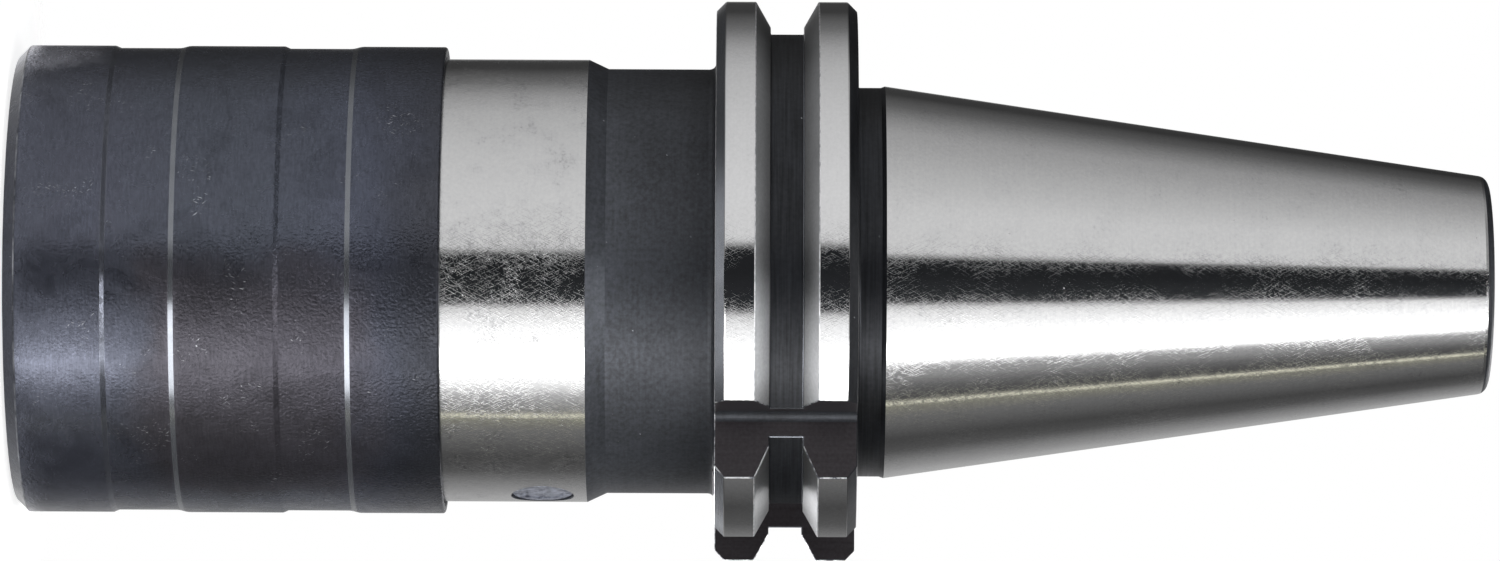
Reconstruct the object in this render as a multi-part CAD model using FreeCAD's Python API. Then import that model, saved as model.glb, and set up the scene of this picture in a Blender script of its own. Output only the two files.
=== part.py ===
import FreeCAD, Part
import math
import os

os.makedirs("parts", exist_ok=True)

# Frame: the chuck stands on its nose at the origin, its axis is +Z with the taper up,
# and the two drive slots of the flange lie at +X and -X. All sizes are millimetres.

# Steep taper and V-flange, size 40
gauge_r = 22.225
taper_length = 68.4
taper_half_slope = 7.0 / 48.0
flange_height = 9.55
flange_gap = 3.2
flange_width = 15.9
vee_from_gauge = 11.1
vee_channel_width = 3.75
vee_channel_depth = 3.65
vee_flank_depth = 2.877
vee_half_angle = math.radians(30)
rim_chamfer = 1.1
taper_end_chamfer = 0.45
collar_cone = 0.5
collar_step = 0.175
slot_width = 16.1
slot_floor_rise_plus_x = 0.575
slot_floor_rise_minus_x = 2.775
notch_depth = 5.612
notch_root_fillet = 1.0

# Pull-stud hole in the small end of the taper
stud_pilot_wall = 3.75
stud_thread_step = 1.6
stud_pilot_depth = 7.0
stud_hole_depth = 32.5

# Neck and ground housing between the flange and the sleeve
bore_past_gauge = 0.75
neck_step = 1.03
neck_fillet = 0.8
neck_length = 12.2
neck_cone_length = 2.2
housing_wall = 7.04
housing_edge = 0.5
mouth_bush_wall = 2.2
mouth_bush_length = 3.5
wiper_length = 1.4
retainer_thickness = 0.7
retainer_grip = 0.7
retainer_from_mouth = 0.5

# Release sleeve
nose_proud = 0.3
sleeve_wall = 1.05
sleeve_length = 48.4
sleeve_front_chamfer = 1.3
sleeve_rear_round = 0.3
sleeve_skirt_gap = 0.32
grip_depth = 0.26
grip_front_start = 10.8
grip_front_length = 7.4
grip_rear_from_end = 18.4
grip_rear_length = 7.7
grip_ramp_down = 0.6
grip_ramp_up = 1.0
release_stroke = 4.0
cam_angle = math.radians(15)

# Spindle with the adapter bore
adapter_bore_r = 15.5
adapter_bore_depth = 36.0
bore_lead_in = 1.0
ball_relief_depth = 0.3
ball_relief_margin = 0.6
head_wall = 4.7
head_length = 18.6
spindle_wall = 2.5
spindle_fit = 0.04
spindle_rear_wall = 5.5
chamber_wall = 5.7
nose_slot_width = 8.0
nose_slot_depth = 5.0
nose_slot_reach = 2.9
nose_edge = 0.5
float_travel = 12.5

# Locking balls of the sleeve
lock_ball_r = 3.0
lock_ball_z = 9.0
lock_ball_count = 3
lock_ball_bite = 0.95
ball_fit = 0.04

# Drive balls in straight tracks between the spindle and the housing
drive_ball_r = 3.175
drive_balls_per_row = 4
drive_ball_gap = 0.05
track_margin = 0.43
drive_row_azimuth = -3.5
track_end_gap = 0.3

# Filler plugs over the ball rows
plug_r = 3.5
plug_recess = 0.28
plug_height = 3.0
plug_edge = 0.2
plug_dish_r = 2.6
plug_dish_depth = 0.12
plug_fit = 0.05

# Float springs and their bolt
bolt_room = 7.3
bolt_head_room = 3.8
bolt_head_height = 6.5
bolt_head_gap = 0.5
bolt_socket_flats = 8.0
bolt_socket_depth = 4.0
bolt_thread_length = 7.2
bolt_thread_fit = 0.03
bolt_hole_gap = 0.4
lock_screw_length = 4.8
lock_screw_flats = 5.0
lock_screw_socket_depth = 2.8
seat_thickness = 1.6
seat_rim_gap = 0.5
seat_hole_gap = 0.1
stop_tube_wall = 2.0
stop_gap = 0.1
extension_wire = 2.0
extension_turns = 4.5
extension_slack = 0.37
compression_wire = 2.8
compression_turns = 6.0
compression_slack = 0.3
rear_chamber_wall = 9.1
spring_rim_gap = 0.7

# Sleeve spring, its washer and rings
sleeve_spring_wire = 1.4
sleeve_spring_turns = 3.0
sleeve_spring_seat = 8.0
guide_ring_wall = 1.86
washer_thickness = 1.2
washer_hole_gap = 0.2
washer_rim_gap = 0.7
clip_thickness = 1.2
clip_grip = 0.8
clip_stand = 2.8
nose_ring_thickness = 1.2
nose_ring_from_front = 1.2
nose_ring_grip = 0.8
nose_ring_reach = 2.2
counterbore_gap = 0.6
ring_slot_gap = 0.05
ring_mouth = 30.0
face_gap = 0.03

# Radii that follow from the adapter bore outwards
head_r = adapter_bore_r + head_wall
spindle_r = adapter_bore_r + spindle_wall
spindle_bore_r = spindle_r + spindle_fit
chamber_r = spindle_r - chamber_wall
bolt_r = chamber_r - bolt_room
bolt_head_r = chamber_r - bolt_head_room
housing_r = spindle_bore_r + housing_wall
neck_r = housing_r - neck_step
skirt_r = housing_r + sleeve_skirt_gap
sleeve_r = skirt_r + sleeve_wall
bush_bore_r = spindle_bore_r + mouth_bush_wall

# Radii that follow from the taper
collar_r = gauge_r - collar_step
flange_r = gauge_r + flange_height
vee_channel_r = flange_r - vee_channel_depth
vee_flank_r = flange_r - vee_flank_depth
slot_floor_plus_x = gauge_r + slot_floor_rise_plus_x
slot_floor_minus_x = gauge_r + slot_floor_rise_minus_x
notch_plane = (flange_r - notch_depth) / math.sqrt(2)
taper_end_r = gauge_r - taper_length * taper_half_slope
stud_pilot_r = taper_end_r - stud_pilot_wall
stud_thread_r = stud_pilot_r - stud_thread_step
rear_chamber_r = gauge_r - rear_chamber_wall

# Heights of the sleeve, its spring and the housing mouth, up from the nose
sleeve_front_z = nose_proud
sleeve_rear_z = sleeve_front_z + sleeve_length
washer_z = head_length + face_gap
clip_z = washer_z + washer_thickness + face_gap
mouth_z = clip_z + clip_thickness + float_travel + sleeve_skirt_gap
retainer_z = mouth_z + retainer_from_mouth
wiper_z = retainer_z + retainer_thickness + face_gap
bush_z = wiper_z + wiper_length + face_gap
bush_rear_z = bush_z + mouth_bush_length + face_gap

# Heights of the ball rows
row_half = drive_balls_per_row * drive_ball_r + (drive_balls_per_row - 1) * drive_ball_gap / 2
track_half = row_half + float_travel / 2 + track_end_gap
drive_row_z = bush_rear_z + track_margin + track_half

# Heights of the float springs, from the bolt head back
bolt_head_z = adapter_bore_depth + float_travel + bolt_head_gap
front_seat_z = bolt_head_z + bolt_head_height + face_gap
extension_spring_z = front_seat_z + seat_thickness
extension_length = float_travel + (extension_turns + 1) * extension_wire + extension_slack
rear_wall_z = extension_spring_z + extension_length
spindle_length = rear_wall_z + spindle_rear_wall
spindle_step_z = spindle_length + float_travel + ring_slot_gap
carrier_seat_z = spindle_length + face_gap
compression_z = carrier_seat_z + seat_thickness
compression_length = float_travel + (compression_turns + 1) * compression_wire + compression_slack
rear_seat_z = compression_z + compression_length
rear_chamber_end_z = rear_seat_z + seat_thickness + face_gap

# Heights of the taper and flange
gauge_z = spindle_step_z - bore_past_gauge
taper_end_z = gauge_z + taper_length
flange_rear_z = gauge_z - flange_gap
flange_front_z = flange_rear_z - flange_width
vee_z = gauge_z - vee_from_gauge
channel_low_z = vee_z - vee_channel_width / 2
channel_high_z = vee_z + vee_channel_width / 2
vee_spread = vee_flank_depth * math.tan(vee_half_angle)
cone_rear_z = flange_front_z - neck_length
cone_front_z = cone_rear_z - neck_cone_length
stud_hole_end_z = taper_end_z - stud_hole_depth


def lathe(profile):
    """Solid of revolution about Z from (radius, height) corners; a corner with four
    numbers is reached by an arc through the point given by the last two."""
    edges = []
    count = len(profile)
    for i in range(count):
        start = profile[i]
        end = profile[(i + 1) % count]
        p = FreeCAD.Vector(start[0], 0, start[1])
        q = FreeCAD.Vector(end[0], 0, end[1])
        if len(end) == 4:
            middle = FreeCAD.Vector(end[2], 0, end[3])
            edges.append(Part.Arc(p, middle, q).toShape())
        else:
            edges.append(Part.makeLine(p, q))
    face = Part.Face(Part.Wire(edges))
    return face.revolve(FreeCAD.Vector(0, 0, 0), FreeCAD.Vector(0, 0, 1), 360)


def tube(outer, inner, low, high, edge=0.0):
    """Ring between two radii and two heights, its outer edges broken by a chamfer."""
    profile = [(inner, low), (outer - edge, low)]
    if edge > 0:
        profile.append((outer, low + edge))
        profile.append((outer, high - edge))
    profile.append((outer - edge, high))
    profile.append((inner, high))
    return lathe(profile)


def rod(radius, low, high):
    """Plain cylinder on the axis."""
    return Part.makeCylinder(radius, high - low, FreeCAD.Vector(0, 0, low))


def box(low, high):
    """Box between two corners."""
    size = [b - a for a, b in zip(low, high)]
    return Part.makeBox(size[0], size[1], size[2], FreeCAD.Vector(*low))


def turned(shape, azimuth):
    """Copy turned about the axis."""
    return shape.rotated(FreeCAD.Vector(0, 0, 0), FreeCAD.Vector(0, 0, 1), azimuth)


def radial_rod(radius, start, end, height, azimuth):
    """Cylinder that points out from the axis."""
    base = FreeCAD.Vector(start, 0, height)
    bar = Part.makeCylinder(radius, end - start, base, FreeCAD.Vector(1, 0, 0))
    return turned(bar, azimuth)


def hexagon(flats, low, high):
    """Hexagonal prism on the axis, given across its flats."""
    corner = flats / math.sqrt(3)
    points = []
    for i in range(7):
        angle = math.radians(60 * i)
        points.append(FreeCAD.Vector(corner * math.cos(angle), corner * math.sin(angle), low))
    face = Part.Face(Part.makePolygon(points))
    return face.extrude(FreeCAD.Vector(0, 0, high - low))


def coil(mean_r, wire, low, high, turns):
    """Round-wire spring with a closed turn at each end, between two seats."""
    closed = 1.0
    bottom = low + wire / 2 + face_gap
    top = high - wire / 2 - face_gap
    close_rise = wire * 1.06
    open_rise = (top - bottom - 2 * close_rise) / (turns - 2 * closed + 1e-9)
    points = []
    steps = 14
    total = int(round(turns * steps))
    rises = []
    for i in range(total):
        turn = (i + 0.5) / steps
        edge = min(turn, turns - turn)
        blend = min(max((edge - 0.75) / 0.5, 0.0), 1.0)
        rises.append(close_rise + (open_rise - close_rise) * blend)
    scale = (top - bottom) / sum(rises)
    height = bottom
    for i in range(total + 1):
        angle = 2 * math.pi * i / steps
        points.append(FreeCAD.Vector(mean_r * math.cos(angle), mean_r * math.sin(angle), height))
        if i < total:
            height += rises[i] * scale
    curve = Part.BSplineCurve()
    curve.interpolate(points)
    path = Part.Wire([curve.toShape()])
    start = points[0]
    tangent = curve.tangent(curve.FirstParameter)[0]
    section = Part.Wire([Part.makeCircle(wire / 2, start, tangent)])
    return path.makePipeShell([section], True, True)


def split_ring(outer, inner, low, high, mouth):
    """Flat ring with an open mouth at +X."""
    ring = tube(outer, inner, low, high)
    wedge_reach = outer * 2
    half = math.radians(mouth / 2)
    points = [
        FreeCAD.Vector(0, 0, low - 1),
        FreeCAD.Vector(wedge_reach * math.cos(half), -wedge_reach * math.sin(half), low - 1),
        FreeCAD.Vector(wedge_reach * math.cos(half), wedge_reach * math.sin(half), low - 1),
        FreeCAD.Vector(0, 0, low - 1),
    ]
    wedge = Part.Face(Part.makePolygon(points)).extrude(FreeCAD.Vector(0, 0, high - low + 2))
    return ring.cut(wedge)


def save(name, shape):
    """Write one node."""
    if shape.ShapeType == "Compound" and len(shape.Solids) == 1:
        shape = shape.Solids[0]
    shape.exportStep("parts/" + name + ".step")
    print(name, len(shape.Solids), "solid(s)", round(shape.Volume, 1), "mm3", shape.isValid())


# Flange cutters: two drive slots and the orientation notch
slot_half = slot_width / 2
slot_reach = flange_r + 2
slot_plus = box(
    (slot_floor_plus_x, -slot_half, flange_front_z),
    (slot_reach, slot_half, flange_rear_z),
)
slot_minus = box(
    (-slot_reach, -slot_half, flange_front_z),
    (-slot_floor_minus_x, slot_half, flange_rear_z),
)
notch = box(
    (notch_plane, -slot_reach, flange_front_z),
    (slot_reach, -notch_plane, flange_rear_z),
)
notch_roots = [
    e
    for e in notch.Edges
    if abs(e.CenterOfMass.x - notch_plane) < 0.01 and abs(e.CenterOfMass.y + notch_plane) < 0.01
]
notch = notch.makeFillet(notch_root_fillet, notch_roots)
flange_cuts = slot_plus.fuse(slot_minus).fuse(notch)

# Ball tracks and filler holes in the housing
track_r = drive_ball_r + ball_fit
track = Part.makeCylinder(
    track_r,
    2 * track_half,
    FreeCAD.Vector(spindle_r + spindle_fit / 2, 0, drive_row_z - track_half),
)
tracks = turned(track, drive_row_azimuth).fuse(turned(track, drive_row_azimuth + 180))
plug_face = housing_r - plug_recess
filler = radial_rod(plug_r + plug_fit, spindle_bore_r, housing_r + 1, drive_row_z, drive_row_azimuth)
fillers = filler.fuse(turned(filler, 180))

# Housing: neck, cone, ground cylinder, mouth bore
fillet_mid = neck_fillet * (1 - math.sqrt(0.5))
housing = lathe(
    [
        (bush_bore_r, mouth_z),
        (housing_r - housing_edge, mouth_z),
        (housing_r, mouth_z + housing_edge),
        (housing_r, cone_front_z),
        (neck_r, cone_rear_z),
        (neck_r, flange_front_z - neck_fillet),
        (neck_r + neck_fillet, flange_front_z, neck_r + fillet_mid, flange_front_z - fillet_mid),
        (spindle_bore_r, flange_front_z),
        (spindle_bore_r, bush_rear_z),
        (bush_bore_r, bush_rear_z),
    ]
)
retainer_groove = tube(
    bush_bore_r + retainer_grip,
    spindle_bore_r,
    retainer_z - ring_slot_gap,
    retainer_z + retainer_thickness + ring_slot_gap,
)
housing = housing.cut(tracks).cut(fillers).cut(retainer_groove)
save("housing", housing)

# Front rim of the V-flange, a ring around the core of the taper
front_rim = lathe(
    [
        (collar_r, flange_front_z),
        (flange_r - rim_chamfer, flange_front_z),
        (flange_r, flange_front_z + rim_chamfer),
        (flange_r, channel_low_z - vee_spread),
        (vee_flank_r, channel_low_z),
        (collar_r, channel_low_z),
    ]
)
front_rim = front_rim.cut(flange_cuts)
save("flange_front_rim", front_rim)

# Channel at the bottom of the V-groove
channel = tube(vee_channel_r, collar_r, channel_low_z, channel_high_z)
channel = channel.cut(flange_cuts)
save("flange_channel", channel)

# Rear rim of the V-flange
rear_rim = lathe(
    [
        (collar_r, channel_high_z),
        (vee_flank_r, channel_high_z),
        (flange_r, channel_high_z + vee_spread),
        (flange_r, flange_rear_z - rim_chamfer),
        (flange_r - rim_chamfer, flange_rear_z),
        (collar_r, flange_rear_z),
    ]
)
rear_rim = rear_rim.cut(flange_cuts)
save("flange_rear_rim", rear_rim)

# Taper with the collar, the core inside the flange, the rear spring chamber and the
# pull-stud hole
taper = lathe(
    [
        (spindle_bore_r, flange_front_z),
        (collar_r, flange_front_z),
        (collar_r, gauge_z - collar_cone),
        (gauge_r, gauge_z),
        (taper_end_r + taper_end_chamfer * taper_half_slope, taper_end_z - taper_end_chamfer),
        (taper_end_r - taper_end_chamfer, taper_end_z),
        (stud_pilot_r, taper_end_z),
        (stud_pilot_r, taper_end_z - stud_pilot_depth),
        (stud_thread_r, taper_end_z - stud_pilot_depth - 0.6),
        (stud_thread_r, stud_hole_end_z),
        (bolt_r, stud_hole_end_z),
        (bolt_r, rear_chamber_end_z),
        (rear_chamber_r, rear_chamber_end_z),
        (rear_chamber_r, spindle_step_z),
        (spindle_bore_r, spindle_step_z),
    ]
)
save("taper_shank", taper)

# Mouth of the housing: retaining ring, wiper and guide bush
retainer = split_ring(
    bush_bore_r + retainer_grip - 0.1,
    spindle_bore_r + 0.5,
    retainer_z,
    retainer_z + retainer_thickness,
    ring_mouth,
)
save("mouth_retaining_ring", retainer)
wiper = tube(bush_bore_r - face_gap, spindle_bore_r, wiper_z, wiper_z + wiper_length)
save("wiper_ring", wiper)
bush = tube(bush_bore_r - face_gap, spindle_bore_r, bush_z, bush_rear_z - face_gap, 0.2)
save("guide_bush", bush)

# Filler plugs, round pins with a shallow dished face
plug = lathe(
    [
        (0, plug_face - plug_height),
        (plug_r, plug_face - plug_height),
        (plug_r, plug_face - plug_edge),
        (plug_r - plug_edge, plug_face),
        (plug_dish_r, plug_face),
        (plug_dish_r - 3 * plug_dish_depth, plug_face - plug_dish_depth),
        (0, plug_face - plug_dish_depth),
    ]
)
plug = plug.rotated(FreeCAD.Vector(0, 0, 0), FreeCAD.Vector(0, 1, 0), 90)
plug = plug.translated(FreeCAD.Vector(0, 0, drive_row_z))
save("filler_plug_1", turned(plug, drive_row_azimuth))
save("filler_plug_2", turned(plug, drive_row_azimuth + 180))

# Float bolt: head in the spindle chamber, thread in the web of the taper
bolt_thread_end_z = rear_chamber_end_z + bolt_thread_length
bolt = lathe(
    [
        (0, bolt_head_z),
        (bolt_head_r - 0.5, bolt_head_z),
        (bolt_head_r, bolt_head_z + 0.5),
        (bolt_head_r, bolt_head_z + bolt_head_height),
        (bolt_r - bolt_thread_fit, bolt_head_z + bolt_head_height),
        (bolt_r - bolt_thread_fit, bolt_thread_end_z - 0.6),
        (bolt_r - 0.6, bolt_thread_end_z),
        (0, bolt_thread_end_z),
    ]
)
bolt = bolt.cut(hexagon(bolt_socket_flats, bolt_head_z - 1, bolt_head_z + bolt_socket_depth))
save("float_bolt", bolt)
lock_screw_z = bolt_thread_end_z + face_gap
lock_screw = rod(bolt_r - bolt_thread_fit, lock_screw_z, lock_screw_z + lock_screw_length)
lock_socket = hexagon(
    lock_screw_flats,
    lock_screw_z + lock_screw_length - lock_screw_socket_depth,
    lock_screw_z + lock_screw_length + 1,
)
lock_screw = lock_screw.cut(lock_socket)
save("bolt_lock_screw", lock_screw)

# Spring seats and stop tube on the bolt
front_seat = tube(
    chamber_r - spring_rim_gap, bolt_r + seat_hole_gap, front_seat_z, extension_spring_z, 0.3
)
save("extension_spring_seat", front_seat)
stop_tube_end_z = rear_wall_z - float_travel - stop_gap
stop_tube = tube(
    bolt_r + seat_hole_gap + stop_tube_wall,
    bolt_r + seat_hole_gap,
    extension_spring_z + face_gap,
    stop_tube_end_z,
)
save("stop_tube", stop_tube)
rear_seat = tube(
    rear_chamber_r - seat_rim_gap,
    bolt_r + seat_hole_gap,
    rear_seat_z,
    rear_seat_z + seat_thickness,
    0.3,
)
save("compression_spring_rear_seat", rear_seat)

# Float springs
extension_mean_r = chamber_r - spring_rim_gap - extension_wire / 2 - 0.1
extension_spring = coil(
    extension_mean_r, extension_wire, extension_spring_z, rear_wall_z, extension_turns
)
save("extension_spring", extension_spring)
compression_mean_r = rear_chamber_r - spring_rim_gap - compression_wire / 2
compression_spring = coil(
    compression_mean_r, compression_wire, compression_z, rear_seat_z, compression_turns
)
save("compression_spring", compression_spring)

# Spindle: head under the sleeve, adapter bore, spring chamber, ball tracks
nose_groove_z = sleeve_front_z + nose_ring_from_front
lock_centre_r = adapter_bore_r - lock_ball_bite + lock_ball_r
relief_low = lock_ball_z - lock_ball_r - ball_relief_margin
relief_high = lock_ball_z + lock_ball_r + ball_relief_margin
relief_r = adapter_bore_r + ball_relief_depth
spindle = lathe(
    [
        (adapter_bore_r + bore_lead_in, 0),
        (head_r - nose_edge, 0),
        (head_r, nose_edge),
        (head_r, nose_groove_z - ring_slot_gap),
        (head_r - nose_ring_grip, nose_groove_z - ring_slot_gap),
        (head_r - nose_ring_grip, nose_groove_z + nose_ring_thickness + ring_slot_gap),
        (head_r, nose_groove_z + nose_ring_thickness + ring_slot_gap),
        (head_r, head_length),
        (spindle_r, head_length),
        (spindle_r, clip_z - face_gap / 2),
        (spindle_r - clip_grip, clip_z - face_gap / 2),
        (spindle_r - clip_grip, clip_z + clip_thickness + ring_slot_gap),
        (spindle_r, clip_z + clip_thickness + ring_slot_gap),
        (spindle_r, spindle_length - nose_edge),
        (spindle_r - nose_edge, spindle_length),
        (bolt_r + bolt_hole_gap, spindle_length),
        (bolt_r + bolt_hole_gap, rear_wall_z),
        (chamber_r, rear_wall_z),
        (chamber_r, adapter_bore_depth),
        (adapter_bore_r, adapter_bore_depth),
        (adapter_bore_r, relief_high),
        (relief_r, relief_high - ball_relief_depth),
        (relief_r, relief_low + ball_relief_depth),
        (adapter_bore_r, relief_low),
        (adapter_bore_r, bore_lead_in),
    ]
)
nose_slot = box(
    (-nose_slot_width / 2, -adapter_bore_r - nose_slot_reach, -1),
    (nose_slot_width / 2, adapter_bore_r + nose_slot_reach, nose_slot_depth),
)
spindle = spindle.cut(nose_slot)
pocket_r = lock_ball_r + ball_fit
pocket = radial_rod(pocket_r, lock_centre_r, head_r + 1, lock_ball_z, 0)
pocket = pocket.fuse(Part.makeSphere(pocket_r, FreeCAD.Vector(lock_centre_r, 0, lock_ball_z)))
lock_step = 360.0 / lock_ball_count
lock_azimuths = [30 + lock_step * i for i in range(lock_ball_count)]
for azimuth in lock_azimuths:
    spindle = spindle.cut(turned(pocket, azimuth))
spindle = spindle.cut(tracks)
save("spindle", spindle)

# Locking balls
for number, azimuth in enumerate(lock_azimuths, 1):
    ball = Part.makeSphere(lock_ball_r, FreeCAD.Vector(lock_centre_r, 0, lock_ball_z))
    save("locking_ball_" + str(number), turned(ball, azimuth))

# Drive balls, two rows
for number, azimuth in ((1, drive_row_azimuth), (2, drive_row_azimuth + 180)):
    balls = []
    for i in range(drive_balls_per_row):
        lift = (i - (drive_balls_per_row - 1) / 2) * (2 * drive_ball_r + drive_ball_gap)
        centre = FreeCAD.Vector(spindle_r + spindle_fit / 2, 0, drive_row_z + lift)
        balls.append(turned(Part.makeSphere(drive_ball_r, centre), azimuth))
    save("drive_balls_row_" + str(number), Part.makeCompound(balls))

# Pieces that travel with the spindle
carrier_seat = tube(
    rear_chamber_r - seat_rim_gap,
    bolt_r + bolt_hole_gap,
    carrier_seat_z,
    compression_z,
    0.3,
)
save("compression_spring_front_seat", carrier_seat)
washer = tube(
    skirt_r - washer_rim_gap, spindle_r + washer_hole_gap, washer_z, washer_z + washer_thickness, 0.2
)
save("sleeve_spring_washer", washer)
clip = split_ring(
    spindle_r + clip_stand, spindle_r - clip_grip + 0.05, clip_z, clip_z + clip_thickness, ring_mouth
)
save("sleeve_spring_clip", clip)
nose_ring = split_ring(
    head_r + nose_ring_reach,
    head_r - nose_ring_grip + 0.05,
    nose_groove_z,
    nose_groove_z + nose_ring_thickness,
    ring_mouth,
)
save("nose_snap_ring", nose_ring)
spring_low_r = head_r + spindle_fit + guide_ring_wall
sleeve_spring_mean_r = (spring_low_r + skirt_r) / 2
sleeve_spring = coil(
    sleeve_spring_mean_r,
    sleeve_spring_wire,
    sleeve_spring_seat,
    washer_z,
    sleeve_spring_turns,
)
save("sleeve_spring", sleeve_spring)

# Release sleeve with its two grip grooves and the inner locking cone
cam = math.tan(cam_angle)
contact_z = lock_ball_z + lock_ball_r * math.sin(cam_angle)
contact_r = lock_centre_r + (lock_ball_r + face_gap) * math.cos(cam_angle)
guide_r = head_r + spindle_fit
cam_narrow_z = contact_z + (contact_r - guide_r) / cam
cam_wide_z = contact_z - release_stroke - 0.4
cam_wide_r = contact_r + (contact_z - cam_wide_z) * cam
guide_rear_z = washer_z - release_stroke - 0.2
shoulder_z = nose_groove_z + nose_ring_thickness + face_gap
counterbore_r = head_r + nose_ring_reach + counterbore_gap
grip_r = sleeve_r - grip_depth
round_mid = sleeve_rear_round * (1 - math.sqrt(0.5))
grip_front_z = sleeve_front_z + grip_front_start
grip_rear_z = sleeve_rear_z - grip_rear_from_end
sleeve = lathe(
    [
        (counterbore_r, sleeve_front_z),
        (sleeve_r - sleeve_front_chamfer, sleeve_front_z),
        (sleeve_r, sleeve_front_z + sleeve_front_chamfer),
        (sleeve_r, grip_front_z),
        (grip_r, grip_front_z + grip_ramp_down),
        (grip_r, grip_front_z + grip_front_length),
        (sleeve_r, grip_front_z + grip_front_length + grip_ramp_up),
        (sleeve_r, grip_rear_z),
        (grip_r, grip_rear_z + grip_ramp_down),
        (grip_r, grip_rear_z + grip_rear_length),
        (sleeve_r, grip_rear_z + grip_rear_length + grip_ramp_up),
        (sleeve_r, sleeve_rear_z - sleeve_rear_round),
        (
            sleeve_r - sleeve_rear_round,
            sleeve_rear_z,
            sleeve_r - round_mid,
            sleeve_rear_z - round_mid,
        ),
        (skirt_r + 0.2, sleeve_rear_z),
        (skirt_r, sleeve_rear_z - 0.2),
        (skirt_r, sleeve_spring_seat),
        (spring_low_r, sleeve_spring_seat),
        (spring_low_r, guide_rear_z),
        (guide_r, guide_rear_z),
        (guide_r, cam_narrow_z),
        (cam_wide_r, cam_wide_z),
        (cam_wide_r, shoulder_z),
        (counterbore_r, shoulder_z),
    ]
)
save("release_sleeve", sleeve)
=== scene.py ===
# %% [markdown]
# # A quick change tapping chuck, dressed around its CAD frame
#
# This lesson takes the solids of a tapping chuck, loaded as a fixed frame, and gives them
# the surfaces that the workshop gave the real one. The chuck stands on its nose at the
# origin with its axis along Z, and its steep taper points up. Everything is in metres.
# Steel parts like these are turned and ground, so most of the new meshes are spun from a
# profile about the Z axis, and the milled places are cut out of them afterwards.

import math

import bpy
from mathutils import Matrix, Vector


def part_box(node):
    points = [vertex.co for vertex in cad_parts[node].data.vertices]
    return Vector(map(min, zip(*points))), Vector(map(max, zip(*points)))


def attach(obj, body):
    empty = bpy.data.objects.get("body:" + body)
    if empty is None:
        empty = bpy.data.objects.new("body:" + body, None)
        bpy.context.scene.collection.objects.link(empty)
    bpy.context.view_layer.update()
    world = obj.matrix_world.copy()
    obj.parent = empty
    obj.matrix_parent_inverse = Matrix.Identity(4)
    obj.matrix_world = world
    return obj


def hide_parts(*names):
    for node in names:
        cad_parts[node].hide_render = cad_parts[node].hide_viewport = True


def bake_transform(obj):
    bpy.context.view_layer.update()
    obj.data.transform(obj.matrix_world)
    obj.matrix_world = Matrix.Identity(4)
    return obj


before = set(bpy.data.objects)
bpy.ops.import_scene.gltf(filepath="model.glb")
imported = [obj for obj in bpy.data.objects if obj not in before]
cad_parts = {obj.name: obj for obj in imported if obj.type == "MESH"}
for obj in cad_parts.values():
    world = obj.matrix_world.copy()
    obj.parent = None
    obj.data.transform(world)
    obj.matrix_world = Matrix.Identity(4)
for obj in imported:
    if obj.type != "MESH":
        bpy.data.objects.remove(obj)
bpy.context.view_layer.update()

mm = 0.001
middle_height = 83.1 * mm

# %% [markdown]
# ## Camera
#
# The photograph shows the chuck lying across the picture, seen square to its axis with a
# long lens from about a metre away. A standing chuck is seen like that when the camera is
# level with its middle and rolled by a quarter turn, so that the taper points to the
# right of the picture. The camera's own three axes are written down as columns of a
# matrix, which is easier to check than three rotation angles.

# %% Place the camera
camera_azimuth = math.radians(11.2)
camera_distance = 1.0
camera_roll = math.radians(0.27)
camera_rise = 0.15 * mm
towards_camera = Vector((math.sin(camera_azimuth), -math.cos(camera_azimuth), 0))
picture_down = Vector((math.cos(camera_azimuth), math.sin(camera_azimuth), 0))
along_chuck = Vector((0, 0, 1))

right = math.cos(camera_roll) * along_chuck - math.sin(camera_roll) * picture_down
up = -math.cos(camera_roll) * picture_down - math.sin(camera_roll) * along_chuck
place = towards_camera * camera_distance - picture_down * camera_rise + along_chuck * middle_height

camera_data = bpy.data.cameras.new("product_camera")
camera_data.lens = 211.44
camera_data.sensor_width = 36
camera = bpy.data.objects.new("product_camera", camera_data)
bpy.context.scene.collection.objects.link(camera)
axes = Matrix((right, up, towards_camera)).transposed().to_4x4()
camera.matrix_world = Matrix.Translation(place) @ axes
bpy.context.scene.camera = camera
bpy.context.scene.view_settings.view_transform = "Standard"
print("camera at", [round(x, 3) for x in place], "m")

# %% [markdown]
# ## One function for nodes and one for colours
#
# Every material here is built from nodes. One small function adds a node: its own
# properties come first, then its inputs. An input that is given an output of another node
# is linked to it, and one that is given the node itself is linked to its first output.
# Colours are written as sRGB hex values, as a picture editor shows them, and turned into
# the linear values that a shader expects.

# %% Helpers for materials
def linear(hex_colour):
    """Linear RGBA of an sRGB hex colour."""
    parts = [int(hex_colour[i:i + 2], 16) / 255 for i in (1, 3, 5)]
    return [p / 12.92 if p <= 0.04045 else ((p + 0.055) / 1.055) ** 2.4 for p in parts] + [1]


def add(tree, kind, settings=(), inputs=(), stops=()):
    """Adds a node with its settings, its input values or links, and its colour stops."""
    node = tree.nodes.new("ShaderNode" + kind)
    for name, value in dict(settings).items():
        setattr(node, name, value)
    for name, value in dict(inputs).items():
        if isinstance(value, bpy.types.Node):
            value = value.outputs[0]
        if isinstance(value, bpy.types.NodeSocket):
            tree.links.new(value, node.inputs[name])
        else:
            node.inputs[name].default_value = value
    for number, (position, colour) in enumerate(stops):
        if number >= len(node.color_ramp.elements):
            node.color_ramp.elements.new(position)
        stop = node.color_ramp.elements[number]
        stop.position = position
        stop.color = linear(colour) if isinstance(colour, str) else (*colour, 1)
    return node


def overlap(tree, *masks):
    """The masks multiplied, so that a mark shows only where all of them are."""
    result = masks[0]
    for mask in masks[1:]:
        result = add(tree, "Math", {"operation": "MULTIPLY"}, {0: result, 1: mask})
    return result


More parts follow.
